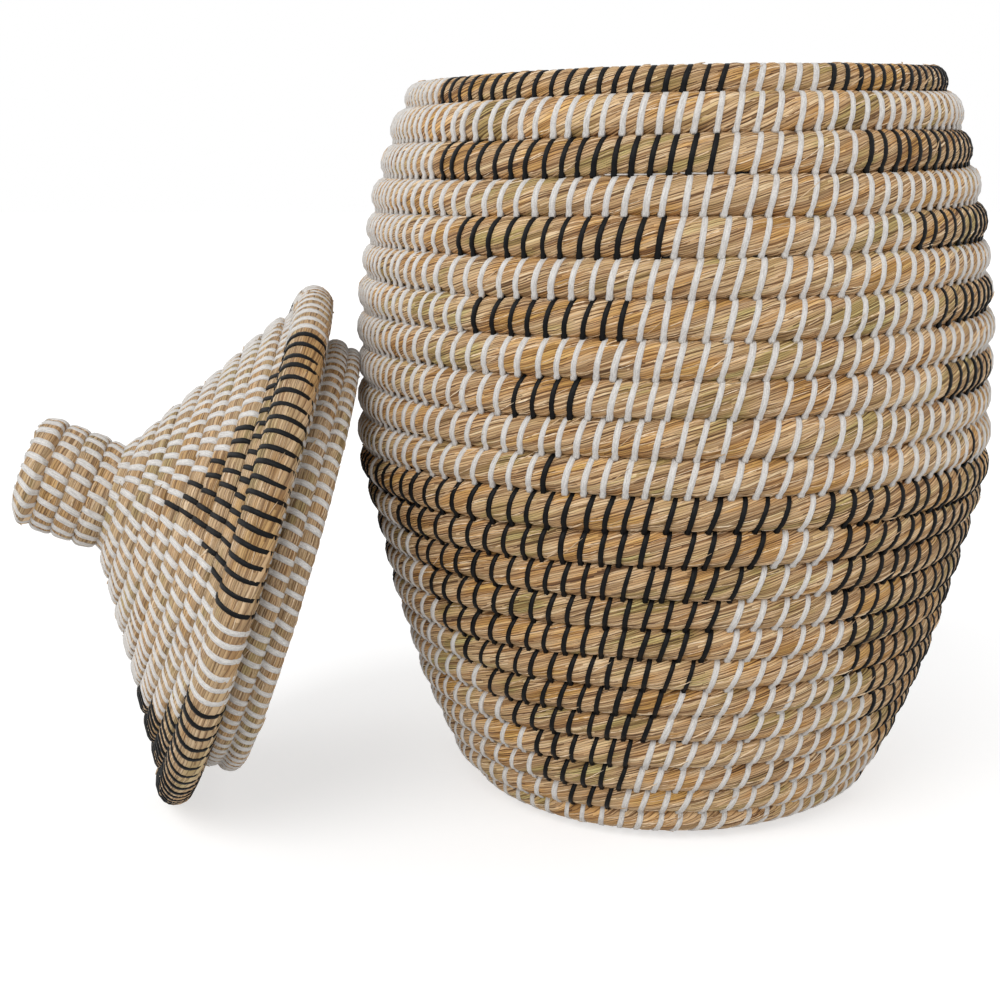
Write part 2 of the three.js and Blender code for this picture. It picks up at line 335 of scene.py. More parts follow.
class Coil:
    """A bundle wound turn on turn along a profile of radius and height.

    At a turn the bundle fills the profile from low(turn) to high(turn). Its section is a rounded
    square on that stretch, ROUNDNESS as deep as it is wide. The profile may run on past the
    coil's own length.
    """

    fullness = FULLNESS

    def __init__(self, profile, side, start_angle, turns, shape, stitches, past=0):
        steps = np.linalg.norm(np.diff(profile, axis=0), axis=1)
        self.profile = profile
        self.distance = np.concatenate([[0], np.cumsum(steps)])
        self.length = self.distance[-1] - past
        self.side = side
        self.start_angle = start_angle
        self.turns = turns
        self.shape = shape
        self.stitches = stitches

    def point(self, distance):
        """Radius and height of the profile at a distance along it."""
        radius = np.interp(distance, self.distance, self.profile[:, 0])
        height = np.interp(distance, self.distance, self.profile[:, 1])
        return np.stack([radius, height], axis=-1)

    def half_width(self, turn):
        return (self.high(turn) - self.low(turn)) / 2

    def radius(self, turn):
        """Distance from the coil's axis to the middle of the bundle."""
        return self.point((self.low(turn) + self.high(turn)) / 2)[..., 0]

    def measure(self):
        """Tables of the coil's own length and of its stitches against its turn."""
        self.turn_table = np.linspace(0, self.turns, int(self.turns * 360) + 2)
        radius = self.radius(self.turn_table)
        step = np.diff(self.turn_table)
        around = 2 * math.pi * np.maximum(radius, 1)
        per_turn = self.stitches(self.turn_table, radius)
        lengths = np.cumsum(step * (around[1:] + around[:-1]) / 2)
        counted = np.cumsum(step * (per_turn[1:] + per_turn[:-1]) / 2)
        self.length_table = np.concatenate([[0], lengths])
        self.stitch_table = np.concatenate([[0], counted])

    def length_at(self, turn):
        return np.interp(turn, self.turn_table, self.length_table)

    def turn_at_length(self, length):
        return np.interp(length, self.length_table, self.turn_table)

    def stitch_at(self, turn):
        return np.interp(turn, self.turn_table, self.stitch_table)

    def turn_at_stitch(self, stitch):
        return np.interp(stitch, self.stitch_table, self.turn_table)

    def place(self, turn, along_by, out_by):
        """Points at a turn, moved along the profile and out of it, in halves of the section.

        The section's middle lies on the profile between its low and high ends. It is moved along
        the line between them and square to that line, and then turned round the axis.
        """
        low, high = self.low(turn), self.high(turn)
        along = self.point(high) - self.point(low)
        along = along / np.maximum(np.linalg.norm(along, axis=-1, keepdims=True), 1e-6)
        out = np.stack([along[..., 1], -along[..., 0]], axis=-1) * self.side
        half = (high - low) / 2
        flat = self.point((low + high) / 2) + along * (half * along_by)[..., None]
        flat = flat + out * (half * ROUNDNESS * out_by)[..., None]
        angle = self.start_angle + 2 * math.pi * turn
        return self.shape(flat[..., 0] * np.cos(angle), flat[..., 0] * np.sin(angle), flat[..., 1])


class Winding(Coil):
    """A spiral that keeps its first width for even_turns and then thickens over grow_turns."""

    def __init__(
        self, profile, start, width, even_turns, grow_turns, turns, side, end_angle, shape,
        stitches, past=0,
    ):
        super().__init__(profile, side, start_for(end_angle, turns), turns, shape, stitches, past)
        self.past = past
        self.start = start
        self.width = width
        self.even_turns = even_turns
        self.grow_turns = grow_turns
        end = turns + CUT_SHARE
        even_length = start + width * (end - 1 + CUT_SHARE)
        self.growth = (self.length - even_length) / (width * self.grown(end))
        self.measure()

    def grown(self, turn):
        """How far growth has run: by the square over grow_turns, and then evenly."""
        past = np.maximum(turn - self.even_turns, 0)
        growing = past**2 / (2 * self.grow_turns)
        return np.where(past < self.grow_turns, growing, past - self.grow_turns / 2)

    def low(self, turn):
        """Distance along the profile of the coil's inner side after that many turns.

        A last row that runs past the mouth thins, climbs, and tapers to the profile's length. The
        rows wander by a sum of sines, less towards either end.
        """
        wide = turn - 1 + CUT_SHARE + self.growth * self.grown(turn)
        climbing = self.start + self.width * wide
        reached = np.minimum(climbing, self.length)
        if self.past:
            thinner = RIM_THINNER * smooth_step((turn - self.turns) / RIM_TAPER)
            taper = smooth_step((turn - self.turns - 1 + RIM_TAPER) / RIM_TAPER)
            top = (1 - taper) * (climbing - thinner) + taper * self.length
            reached = np.where(turn > self.turns, top, climbing)
        from_ends = np.minimum(reached - self.start, self.length - reached)
        inner = np.clip(from_ends / self.width, 0, 2)
        wander = sum(size * np.sin(rate * turn + start) for rate, start, size in WANDER_WAVES)
        row = ROW_WANDER * self.width / BASE_COIL
        reached = reached + row * inner / 2 * wander / WANDER_PEAK
        return np.where(turn < 1 - 0.5 / TURN_STEPS, self.start, reached)

    def high(self, turn):
        return self.low(turn + 1)


class Hoop(Coil):
    """One turn whose ends lap each other on a slant."""

    def __init__(self, profile, width, side, start_angle, shape, stitches):
        super().__init__(profile, side, start_angle, 1 + LAP_SHARE, shape, stitches)
        self.width = width
        self.measure()

    def slant(self, share):
        """Width along a lap: it falls evenly, from all but CUT_SHARE of it to that share."""
        thin = CUT_SHARE * self.width
        return (1 - share) * (self.width - thin) + share * thin

    def low(self, turn):
        return np.where(turn <= LAP_SHARE, self.slant(turn / LAP_SHARE), 0)

    def high(self, turn):
        return np.where(turn < 1, self.width, self.slant((turn - 1) / LAP_SHARE))


# The basket's coil

LEAN_ANGLE = np.radians(180 + LID_TURN)
BASE_HEIGHT = (BASE_COIL - TURN_GAP) * ROUNDNESS / 2 - PRESSED_FLAT
BASE_TURNS = BASE_RADIUS / BASE_COIL - CUT_SHARE
BASKET_END = math.pi / 2 - LEAN_ANGLE
BASKET_START = start_for(BASKET_END, BASE_TURNS + WALL_TURNS)


def basket_profile():
    """Flat base, heel to belly, belly to mouth, and a straight stretch past the mouth."""
    heel = np.radians(HEEL_ANGLE)
    lean = np.radians(MOUTH_LEAN)
    inward, upward = math.sin(lean), math.cos(lean)
    heel_foot = (BASE_RADIUS, BASE_HEIGHT)
    heel_pull = (
        BASE_RADIUS + HEEL_REACH * math.cos(heel),
        BASE_HEIGHT + HEEL_REACH * math.sin(heel),
    )
    belly = (BELLY_RADIUS, BELLY_HEIGHT)
    belly_foot = (BELLY_RADIUS, BELLY_HEIGHT - BELLY_REACH_DOWN)
    belly_head = (BELLY_RADIUS, BELLY_HEIGHT + BELLY_REACH_UP)
    mouth = (MOUTH_RADIUS, BODY_HEIGHT)
    mouth_pull = (MOUTH_RADIUS + MOUTH_REACH * inward, BODY_HEIGHT - MOUTH_REACH * upward)
    past_mouth = (MOUTH_RADIUS - RIM_PAST * inward, BODY_HEIGHT + RIM_PAST * upward)
    return join(
        straight((0, BASE_HEIGHT), heel_foot),
        swell(heel_foot, heel_pull, belly_foot, belly),
        swell(belly, belly_head, mouth_pull, mouth),
        straight(mouth, past_mouth),
    )


def on_floor(x, y, height):
    """Turned to face the lid as the solids do, and pressed flat on the floor.

    The rows slope a little. Towards the mouth they drop with the square of the distance to either
    side, the heel curls up from the floor, and the rows at BELT_HEIGHT stand out by a bell curve.
    """
    wider = 1 + BELT_OUT / BELLY_RADIUS * np.exp(-(((height - BELT_HEIGHT) / BELT_REACH) ** 2))
    turned_x = wider * (x * math.cos(LEAN_ANGLE) - y * math.sin(LEAN_ANGLE))
    turned_y = wider * (x * math.sin(LEAN_ANGLE) + y * math.cos(LEAN_ANGLE))
    climbed = (height - BELLY_HEIGHT) / (BODY_HEIGHT - BELLY_HEIGHT)
    mouth = smooth_step((climbed - DROP_FROM) / DROP_OVER)
    dropped = ROW_SLOPE * turned_x * np.clip(height / SLOPE_FULL, 0, 1) * (1 - mouth)
    dropped = dropped + RIM_DROP * mouth * (turned_x / MOUTH_RADIUS) ** 2
    heel = smooth_step((np.hypot(x, y) - HEEL_FROM) / HEEL_RUN)
    heel = heel * (1 - smooth_step(height / HEEL_TOP))
    stands = np.maximum(height - dropped + HEEL_LIFT * heel, 0)
    return np.stack([turned_x, turned_y, stands], axis=-1)


def wall_stitches(turn, radius):
    """Stitches in a turn: evenly spaced up to the belly, and stitch over stitch above it.

    They crowd and spread by a cosine of the angle. Above the belly they also crowd at the left,
    by a bell curve of the angle from there, and are as many fewer elsewhere.
    """
    even = 2 * math.pi * radius / STITCH_SPACING
    rise = np.clip((turn - STACKED_FROM) / STACKED_OVER, 0, 1)
    count = (1 - rise) * even + rise * STACKED_STITCHES
    azimuth = LEAN_ANGLE + BASKET_START + 2 * math.pi * turn
    from_left = around_from(np.degrees(azimuth), LEFT_CROWDED_AT) / LEFT_REACH
    at_left = LEFT_CROWDING * (np.exp(-(from_left**2)) - LEFT_REACH * math.sqrt(math.pi) / 360)
    waves = CROWDING * np.cos(CROWDINGS * (azimuth - np.radians(CROWDED_AT)))
    return count * (1 + waves + rise * at_left)


basket_coil = Winding(
    basket_profile(),
    start=BASE_COIL / 2,
    width=BASE_COIL,
    even_turns=BASE_TURNS,
    grow_turns=WALL_TURNS,
    turns=BASE_TURNS + WALL_TURNS,
    side=1,
    end_angle=BASKET_END,
    shape=on_floor,
    stitches=wall_stitches,
    past=RIM_PAST,
)


# The lid's coils

NECK_HEIGHT = BRIM_HEIGHT + NECK_RISE
KNOB_FOOT = NECK_HEIGHT + NECK_LENGTH
KNOB_TOP = KNOB_FOOT + KNOB_LENGTH
KNOB_TURNS = (KNOB_RADIUS + KNOB_LENGTH) / KNOB_COIL + 0.5 - CUT_SHARE
SEAT_DEEP = SEAT_COIL * ROUNDNESS / 2
RIM_COIL = BASE_COIL * (1 + basket_coil.growth)
SEAT_RADIUS = MOUTH_RADIUS - RIM_COIL * ROUNDNESS / 2 - LID_CLEARANCE - SEAT_DEEP
SEAT_TURNS = SEAT_TOP / SEAT_COIL + 1 - 2 * CUT_SHARE
slope = np.array([BRIM_RADIUS - NECK_RADIUS, BRIM_HEIGHT - NECK_HEIGHT])
slope = slope / np.linalg.norm(slope)
cone_end = np.array([BRIM_RADIUS, BRIM_HEIGHT]) - slope * BRIM_COIL / 2


def lid_profile():
    """The knob's flat top and side, a pinched neck, and a cone that sags a little."""
    neck = (NECK_RADIUS, NECK_HEIGHT)
    pinch = (NECK_RADIUS - NECK_PINCH, (NECK_HEIGHT + KNOB_FOOT) / 2)
    dip = (1 - SAG_PLACE) * np.array(neck) + SAG_PLACE * cone_end
    return join(
        straight((0, KNOB_TOP), (KNOB_RADIUS, KNOB_TOP)),
        straight((KNOB_RADIUS, KNOB_TOP), (KNOB_RADIUS, KNOB_FOOT)),
        bend((KNOB_RADIUS, KNOB_FOOT), pinch, neck),
        bend(neck, (dip[0], dip[1] - CONE_SAG), cone_end),
    )


def lid_frame():
    """Directions of the leaning lid's top, side and axis, and its place beside the basket."""
    tilt = np.radians(LID_TILT)
    outward = np.array([math.cos(LEAN_ANGLE), math.sin(LEAN_ANGLE), 0])
    upright = np.array([0, 0, 1])
    axis = outward * math.cos(tilt) + upright * math.sin(tilt)
    upward = upright * math.cos(tilt) - outward * math.sin(tilt)
    turning = np.stack([upward, np.cross(axis, upward), axis])
    return turning, outward * LID_DISTANCE + upright * LID_HEIGHT


lid_turning, lid_place = lid_frame()


def leaning(x, y, height):
    """The knob leans to the lid's upper side, and the lid stands and leans on the basket."""
    share = np.maximum((height - BRIM_HEIGHT) / (KNOB_TOP - BRIM_HEIGHT), 0)
    flat = np.stack([x + KNOB_LEAN * share, y, height], axis=-1)
    return flat @ lid_turning + lid_place


def lid_stitches(turn, radius):
    """Stitches in a turn, evenly spaced on the coil's outer side."""
    return 2 * math.pi * (radius + KNOB_COIL / 4) / LID_SPACING


lid_coil = Winding(
    lid_profile(),
    start=KNOB_COIL / 2,
    width=KNOB_COIL,
    even_turns=KNOB_TURNS,
    grow_turns=NECK_TURNS,
    turns=KNOB_TURNS + CONE_TURNS,
    side=-1,
    end_angle=np.radians(LID_END_ANGLE),
    shape=leaning,
    stitches=lid_stitches,
)
lid_coil.fullness = CONE_FULLNESS
brim_hoop = Hoop(
    straight(cone_end - slope * BRIM_PRESS, cone_end + slope * BRIM_COIL),
    width=BRIM_COIL + BRIM_PRESS,
    side=-1,
    start_angle=np.radians(BRIM_LAP_ANGLE),
    shape=leaning,
    stitches=lid_stitches,
)
seat_winding = Winding(
    straight((SEAT_RADIUS, SEAT_TOP), (SEAT_RADIUS, 0)),
    start=0,
    width=SEAT_COIL,
    even_turns=0,
    grow_turns=SEAT_TURNS,
    turns=SEAT_TURNS,
    side=-1,
    end_angle=np.radians(LID_END_ANGLE),
    shape=leaning,
    stitches=lid_stitches,
)


# The figures: which stitches are black

def wall_angle(turn):
    """Degrees round the basket from its front, to the right, at a turn of its coil."""
    azimuth = LEAN_ANGLE + basket_coil.start_angle + 2 * math.pi * turn
    return around_from(np.degrees(azimuth), 270)


def nearest(angle, middles):
    """How far each angle lies from the nearest of the middles, and which middle that is."""
    away = np.stack([around_from(angle, middle) for middle in middles])
    best = np.argmin(np.abs(away), axis=0)
    return np.take_along_axis(away, best[None], axis=0)[0], best


def basket_black(turn):
    """Black triangles hang from the rim on every other row, and larger ones hang below them.

    Rows are counted from the rim.
    """
    angle = wall_angle(turn)
    row = np.ceil(basket_coil.turns - turn).astype(int)
    away, which = nearest(angle, UPPER_MIDDLES)
    step = np.clip((row - 1) // 2, 0, len(UPPER_HALVES[0]) - 1)
    half = np.array(UPPER_HALVES)[which % 2, step]
    upper = (row % 2 == 1) & (row <= UPPER_ROWS) & (np.abs(away) < half)
    away, which = nearest(angle, LOWER_MIDDLES)
    top, foot = LOWER_ROWS
    step = np.clip(row - top, 0, foot - top)
    past_left = away > -np.array(LOWER_LEFT)[which % 2, step]
    short_of_right = away < np.array(LOWER_RIGHT)[which % 2, step]
    return upper | ((row >= top) & (row <= foot) & past_left & short_of_right)


def lid_figure(row, angle):
    """Black triangles stand on the lid's brim, row 0, and lean as they rise."""
    middles = [at + lean * row for at, lean in zip(LID_MIDDLES, LID_LEANS)]
    away, _ = nearest(np.degrees(angle), middles)
    halves = np.array(LID_HALVES)
    return (row < len(halves)) & (np.abs(away) < halves[np.minimum(row, len(halves) - 1)])


def lid_black(turn):
    row = np.ceil(lid_coil.turns - turn).astype(int)
    return lid_figure(row, lid_coil.start_angle + 2 * math.pi * turn)


def brim_black(turn):
    row = np.zeros(np.shape(turn), int)
    return lid_figure(row, brim_hoop.start_angle + 2 * math.pi * turn)


def no_black(turn):
    return np.zeros(np.shape(turn), bool)


# Meshes

def tube_faces(rings, sides, copies, inside_out):
    """Four-sided faces of many tubes of closed rings, with a face over each of their ends.

    The tubes have the same rings, and their points follow one another.
    """
    tube = (np.arange(copies) * rings * sides)[:, None, None]
    ring = np.arange(rings - 1)[:, None] * sides
    side = np.arange(sides)
    after = (side + 1) % sides
    quads = [ring + side, ring + after, ring + sides + after, ring + sides + side]
    quads = np.stack(quads, axis=-1).reshape(-1, 4) + tube
    caps = np.stack([side[::-1], (rings - 1) * sides + side]) + tube
    if inside_out:
        quads, caps = quads[:, :, ::-1], caps[:, :, ::-1]
    return quads.reshape(-1, 4), caps.reshape(-1, sides).tolist()


def corner_numbers(rings, sides, inside_out):
    """The ring and the side of each corner of a tube's four-sided faces, in tube_faces' order.

    The last side counts on past the first, so that a pattern doesn't run back between them.
    """
    ring = np.repeat(np.arange(rings - 1), sides)
    side = np.tile(np.arange(sides), rings - 1)
    corner_ring = np.stack([ring, ring, ring + 1, ring + 1], axis=-1)
    corner_side = np.stack([side, side + 1, side + 1, side], axis=-1)
    if inside_out:
        return corner_ring[:, ::-1], corner_side[:, ::-1]
    return corner_ring, corner_side


def put(name, data):
    """An object in the scene that holds a mesh, a lamp or a camera."""
    made = bpy.data.objects.new(name, data)
    bpy.context.scene.collection.objects.link(made)
    return made


def make_piece(name, points, quads, caps, lie, material):
    """A mesh object from points in millimetres. lie gives each corner's place for the material."""
    faces = quads.tolist() + caps
    made = bpy.data.meshes.new(name)
    made.from_pydata((points.reshape(-1, 3) * MM).tolist(), [], faces)
    layer = made.uv_layers.new(name="lie")
    full = np.zeros((len(made.loops), 2))
    full[: len(lie)] = lie
    layer.data.foreach_set("uv", full.ravel())
    made.polygons.foreach_set("use_smooth", np.ones(len(made.polygons), bool))
    made.materials.append(material)
    made.update()
    return put(name, made)


def wrap_noise(x, y, seed):
    """Smooth irregular numbers between about -1 and 1: a sum of sine waves at odd angles."""
    draw = np.random.default_rng(seed)
    total = 0
    for _ in range(WAVES):
        across, up = draw.uniform(*WAVES_ACROSS), draw.uniform(*WAVES_UP)
        start = draw.uniform(*WAVE_STARTS)
        total = total + np.sin(across * x + up * y + start)
    return total / WAVES_PEAK


def draws_for(first, seed):
    """Random draws of its own for each length of coil, told apart by its first turn."""
    return np.random.default_rng(int(first * 100) + seed)


def strip_offset(height, lean):
    """How far round, in stitch spacings, a strip has moved at a height on the coil from -1 to 1."""
    return lean * (height / 2 + STRIP_BOW * (height**2 - 0.5))


def section_shape(around, fullness):
    """Places along and out of the section, in halves of it, at angles round it from outside.

    The section is a superellipse: sine and cosine, each to the power 2 / fullness.
    """
    power = 2 / fullness
    along = np.sign(np.sin(around)) * np.abs(np.sin(around)) ** power
    out = np.sign(np.cos(around)) * np.abs(np.cos(around)) ** power
    return along, out


def skin(coil, turn, around, lean):
    """How far the grass stands out of the plain section, in millimetres.

    It swells in slow lumps between the stitches, and each stitch pinches it by a bell curve of
    the distance to the strip. It is fuller by the fourth power of the place along the section,
    so that neighbouring turns press together.
    """
    along, out = section_shape(around, coil.fullness)
    at_stitch = coil.stitch_at(turn) - strip_offset(along * np.sign(out + 1e-9), lean)
    off = (at_stitch - np.round(at_stitch)) / PINCH_REACH
    lumps = wrap_noise(coil.length_at(turn) / LUMP_LENGTH, around * LUMPS_ROUND, LUMP_SEED)
    return LUMPS * lumps + SWELL - PINCH * np.exp(-(off**2)) + SEAM_FILL * along**4


def grass_length(name, coil, first, last, lean, slant, material):
    """A length of coil: rings RING_STEP apart, swollen between the stitches and pinched by them.

    The lie runs along the strands, which climb round the bundle by a slant in degrees. Across
    them it is a mean of the angle round the section and of the height on it, in millimetres.
    """
    start, end = coil.length_at(first), coil.length_at(last)
    count = max(int((end - start) / RING_STEP), LEAST_RINGS)
    lengths = np.linspace(start, end, count)
    around = (np.arange(SIDES) / SIDES * 2 * math.pi - math.pi / 2)[None, :]
    turn = coil.turn_at_length(lengths)[:, None]
    along, out = section_shape(around, coil.fullness)
    half = coil.half_width(turn)
    grow = 1 + skin(coil, turn, around, lean) / np.maximum(half, LEAST_HALF)
    points = coil.place(turn, along * grow, out * grow)
    inside_out = coil.side > 0
    quads, caps = tube_faces(count, SIDES, 1, inside_out)
    corner_ring, corner_side = corner_numbers(count, SIDES, inside_out)
    turned = corner_side / SIDES * 2 * math.pi
    level = np.where(corner_side <= SIDES // 2, -np.cos(turned), 2 + np.cos(turned))
    across = np.median(half) * (ACROSS_BY_ANGLE * turned + (1 - ACROSS_BY_ANGLE) * level)
    across = across - lengths[corner_ring] * math.tan(math.radians(slant))
    lie = np.stack([lengths[corner_ring], across], axis=-1).reshape(-1, 2)
    return make_piece(name, points, quads, caps, lie, material)


def blades(name, coil, first, last, lean, slant, material):
    """Thin three-sided spindles of grass, from one stitch to the next.

    Each climbs round the bundle by about the slant in degrees. Its ridge rises from under one
    strip and goes under the next, by the half wave of a sine. A few stray ones stand up at the
    end, by the fourth power of the way along. The lie holds a tone from 0 to 1 for each.
    """
    low, high = coil.stitch_at(first), coil.stitch_at(last)
    bays = np.arange(math.ceil(low), math.floor(high))
    each = BLADES_OUTSIDE + BLADES_INSIDE
    number = np.repeat(bays, each).astype(float)[:, None]
    draw = draws_for(first, BLADE_SEED)
    count = len(number)
    inside = np.tile(np.arange(each) >= BLADES_OUTSIDE, len(bays))
    middle = np.radians(draw.uniform(*BLADE_ANGLES, count) + 180 * inside)
    share = np.array(BLADE_STEPS)[None, :]
    begin = draw.uniform(*BLADE_STARTS, count)[:, None]
    end = 1 + draw.uniform(*BLADE_STOPS, count)[:, None]
    spacing = (coil.length_at(last) - coil.length_at(first)) / (high - low)
    stray = draw.uniform(0, 1, count) < STRAY_SHARE
    climb = np.tan(np.radians(draw.normal(slant, BLADE_SPREAD, count) + STRAY_TURN * stray))
    half = coil.half_width(coil.turn_at_stitch(number + 0.5))
    around = middle[:, None] + (share - 0.5) * spacing * climb[:, None] / half
    along, out = section_shape(around, coil.fullness)
    at_stitch = number + begin + (end - begin) * share + strip_offset(along * np.sign(out), lean)
    turn = coil.turn_at_stitch(np.clip(at_stitch, low, high))
    body = half_wave(share, BLADE_CUT)
    wide = BLADE_HALF_WIDTH * draw.uniform(*BLADE_WIDTHS, count)[:, None] * body / half
    lift = BLADE_LIFT * draw.uniform(*BLADE_LIFTS, count) * (1 + stray)
    ridge = lift[:, None] * ((1 + BLADE_SINK) * body - BLADE_SINK)
    root = np.full_like(ridge, -BLADE_ROOT)
    rise = np.stack([root, ridge, root], axis=-1)
    rise = rise + (STRAY_RISE * stray[:, None] * share**4)[:, :, None]
    corners = np.stack([around - wide, around, around + wide], axis=-1)
    turns = turn[:, :, None]
    along, out = section_shape(corners, coil.fullness)
    grow = 1 + (skin(coil, turns, corners, lean) + rise) / half[:, :, None]
    points = coil.place(turns, along * grow, out * grow)
    quads, caps = tube_faces(len(BLADE_STEPS), 3, count, inside_out=coil.side > 0)
    tone = np.repeat(draw.uniform(0, 1, count), len(quads) // count * 4)
    lie = np.stack([tone, np.tile([0.0, 1.0, 1.0, 0.0], len(quads))], axis=-1)
    return make_piece(name, points, quads, caps, lie, material)


def strip_way(lap, fullness):
    """Places along and out of the section that a strip passes, in halves of the section.

    It goes from low on the outside over the top to low on the inside, and laps past both seams.
    """
    along, out = section_shape(np.radians(STRIP_ANGLES), fullness)
    seam_along = np.array([-1 - lap, STRIP_SEAM_ALONG])
    seam_out = np.array(STRIP_SEAM_OUT)
    along = np.concatenate([seam_along, along, seam_along[::-1]])
    out = np.concatenate([seam_out, out, -seam_out[::-1]])
    return along, out


def strips(name, coil, first, last, lean, black, width, is_black, material):
    """The strips over a length of coil that are of one colour, as flat bands with soft edges.

    A strip leans in a slight bow over the outside, and runs nearly straight down inside. Its
    place, width and lean vary by normal draws.
    """
    low, high = coil.stitch_at(first), coil.stitch_at(last)
    numbers = np.arange(math.ceil(low), math.ceil(high))
    draw = draws_for(first, STRIP_SEED)
    place = numbers + draw.normal(0, VARY_PLACE, len(numbers))
    wide = 1 + draw.normal(0, VARY_WIDTH, len(numbers))
    leaning_by = lean * (1 + draw.normal(0, VARY_LEAN, len(numbers)))
    turn = coil.turn_at_stitch(np.clip(place, low, high))
    chosen = black(turn) == is_black
    turn, wide, leaning_by = turn[chosen], wide[chosen], leaning_by[chosen]
    if len(turn) == 0:
        return None
    radius = coil.radius(turn)
    half = coil.half_width(turn)
    spacing = 1 / np.maximum(coil.stitches(turn, radius), 1)
    along, out = strip_way(STRIP_LAP / np.median(half), coil.fullness)
    top = strip_offset(1.0, 1)
    inside = top + (1 - 2 * top) * (1 - (along + 1) / 2)
    progress = np.where(out > 0, strip_offset(along, 1), inside)
    offset = leaning_by[:, None] * progress * spacing[:, None]
    band = width / 2 * wide / (2 * math.pi * np.maximum(radius, LEAST_RADIUS))
    across = band[:, None, None] * np.array(STRIP_ACROSS)
    at_turn = np.clip((turn[:, None] + offset)[:, :, None] + across, 0, coil.turns)
    grow = 1 + STRIP_THICKNESS * np.array(STRIP_LIFT) / half[:, None, None]
    points = coil.place(at_turn, along[:, None] * grow, out[:, None] * grow)
    steps, sides, inside_out = len(along), len(STRIP_ACROSS), coil.side < 0
    quads, caps = tube_faces(steps, sides, len(turn), inside_out)
    corner_step, corner_side = corner_numbers(steps, sides, inside_out)
    lie = np.stack([corner_step * STRIP_GRAIN, corner_side], axis=-1).reshape(1, -1, 2)
    start = draw.uniform(*GRAIN_STARTS, (len(turn), 1, 2))
    return make_piece(name, points, quads, caps, (lie + start).reshape(-1, 2), material)


def tails(name, coil, places, material):
    """Ends of strip that lie in a seam: flat bands along it that wave a little, by sines.

    Each place is a seam, counted from the rim, and where the end starts and stops, in degrees
    from the front.
    """
    share = np.linspace(0, 1, TAIL_STEPS)[None, :]
    seam, begin, stop = (np.array(column, float)[:, None] for column in zip(*places))
    angle = (1 - share) * begin + share * stop
    turn = coil.turns - (wall_angle(coil.turns) - angle) % 360 / 360 - (seam - 1)
    wave = np.sin(TAIL_WAVE * share + seam * 2 + begin)
    low, high = (edge + sway * wave for edge, sway in TAIL_EDGES)
    thick = TAIL_THICKNESS * half_wave(share, TAIL_CUT) / coil.half_width(turn)
    thick = thick[..., None] * np.array(TAIL_OUTER_SIDE)
    along = np.stack([low, high, high, low], axis=-1) - thick
    out = np.array(TAIL_OUT) + thick
    points = coil.place(turn[..., None], along, out)
    quads, caps = tube_faces(TAIL_STEPS, len(TAIL_OUT), len(places), inside_out=True)
    lie = np.zeros((len(quads) * 4, 2))
    return make_piece(name, points, quads, caps, lie, material)


def roll(name, coil, low, high, material):
    """The rolled start of a coil: a small round cushion with a flat top and bottom.

    Its radius goes up and down by a power of a sine, and its height by a cosine.
    """
    radius = coil.start + ROLL_REACH
    share = np.linspace(0, 1, ROLL_STEPS)
    bulge = half_wave(share, ROLL_CUT) ** ROLL_BULGE
    bulge = radius * np.concatenate([[ROLL_MIDDLE], bulge, [ROLL_MIDDLE]])[:, None]
    height = low + (high - low) * (0.5 - 0.5 * np.cos(math.pi * share))
    height = np.concatenate([[low], height, [high]])
    angle = (np.arange(SIDES * 2) / (SIDES * 2) * 2 * math.pi)[None]
    x, y = bulge * np.cos(angle), bulge * np.sin(angle)
    points = coil.shape(x, y, np.broadcast_to(height[:, None], x.shape))
    quads, caps = tube_faces(len(height), SIDES * 2, 1, inside_out=False)
    lie = points.reshape(-1, 3)[quads.ravel()][:, :2]
    return make_piece(name, points, quads, caps, lie, material)


# Materials

def paint(red, green, blue):
    """A colour given by its eight-bit display values, as the linear value that a shader takes.

    The display's standard curve is undone: a power of 2.4, and a straight line near black.
    """
    display = np.array([red, green, blue]) / 255
    linear = np.where(display <= 0.04045, display / 12.92, ((display + 0.055) / 1.055) ** 2.4)
    return (*linear.tolist(), 1.0)


def add_node(tree, kind, inputs, **settings):
    """A node of a kind, with its settings and its inputs, by their names or numbers.

    An input is a value, or the output of another node that is then linked to it.
    """
    node = tree.nodes.new(kind)
    for name, value in settings.items():
        setattr(node, name, value)
    for key, value in inputs.items():
        if isinstance(value, bpy.types.NodeSocket):
            tree.links.new(value, node.inputs[key])
        else:
            node.inputs[key].default_value = value
    return node


